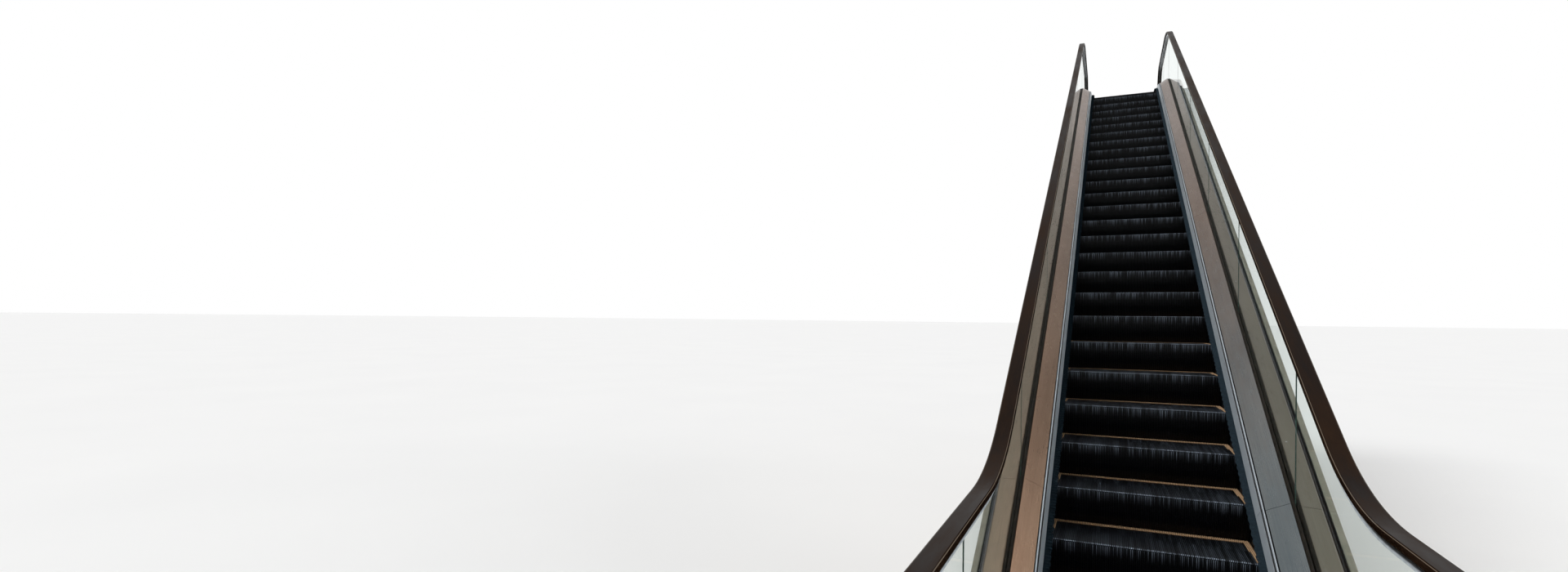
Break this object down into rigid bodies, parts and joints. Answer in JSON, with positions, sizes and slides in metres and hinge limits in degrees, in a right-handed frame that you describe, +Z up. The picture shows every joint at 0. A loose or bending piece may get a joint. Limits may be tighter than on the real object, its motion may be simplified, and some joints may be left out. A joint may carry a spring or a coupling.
{
  "type": "escalator",
  "caption": "Escalator between two floors, with glass balustrades and rubber handrails on both sides, ribbed steps, combs, and a clad truss that hangs on an angle at each end.",
  "frame": {"origin": "middle of the bearing face under the lower support angle", "axes": "+X to the right for someone riding up, +Y from the lower landing to the upper landing, +Z up"},
  "size_m": [1.66, 14.8561, 7.5152],
  "materials": {
    "truss_steel": "matt grey primer",
    "beige_panel": "satin beige paint",
    "bronze_strip": "satin dark bronze",
    "stainless": "brushed along its length",
    "aluminium_trim": "natural anodised",
    "clear_glass": "clear toughened glass",
    "gasket_rubber": "matt black",
    "skirt_black": "low friction satin black",
    "brush_nylon": "black bristles",
    "belt": "glossy brown black",
    "light_strip": "clear diffuser",
    "step_casting": "satin black on cast aluminium",
    "tan_insert": "satin tan",
    "machine_steel": "oiled steel",
    "comb_metal": "ribbed cast aluminium",
    "floor_cover": "ribbed stainless"
  },
  "bodies": {
    "root": {"truss_left": "truss_steel", "truss_right": "truss_steel", "truss_crossbeams": "truss_steel", "truss_ends": "truss_steel", "support_angle_lower": "truss_steel", "support_angle_upper": "truss_steel", "cladding_left": "beige_panel", "cladding_right": "beige_panel", "cladding_soffit": "beige_panel", "cladding_caps": "beige_panel", "groove_strips": "bronze_strip", "outer_deck_left": "stainless", "outer_deck_right": "stainless", "glass_clamp_left": "aluminium_trim", "glass_clamp_right": "aluminium_trim", "glass_gaskets": "gasket_rubber", "glass_panels_left": "clear_glass", "glass_panels_right": "clear_glass", "inner_deck_left": "stainless", "inner_deck_right": "stainless", "skirt_left": "skirt_black", "skirt_right": "skirt_black", "brush_holders": "aluminium_trim", "skirt_brushes": "brush_nylon", "handrail_guide_left": "aluminium_trim", "handrail_guide_right": "aluminium_trim", "handrail_lights": "light_strip", "handrail_left": "belt", "handrail_right": "belt", "newel_covers": "stainless", "handrail_inlets": "gasket_rubber", "balustrade_brackets": "truss_steel", "steps_lower": "step_casting", "steps_incline_a": "step_casting", "steps_incline_b": "step_casting", "steps_incline_c": "step_casting", "steps_upper": "step_casting", "step_edges": "tan_insert", "step_rails": "machine_steel", "step_chains": "machine_steel", "turning_shafts": "machine_steel", "comb_lower": "comb_metal", "comb_upper": "comb_metal", "floor_plates": "floor_cover", "floor_frames": "truss_steel"}
  },
  "joints": []
}
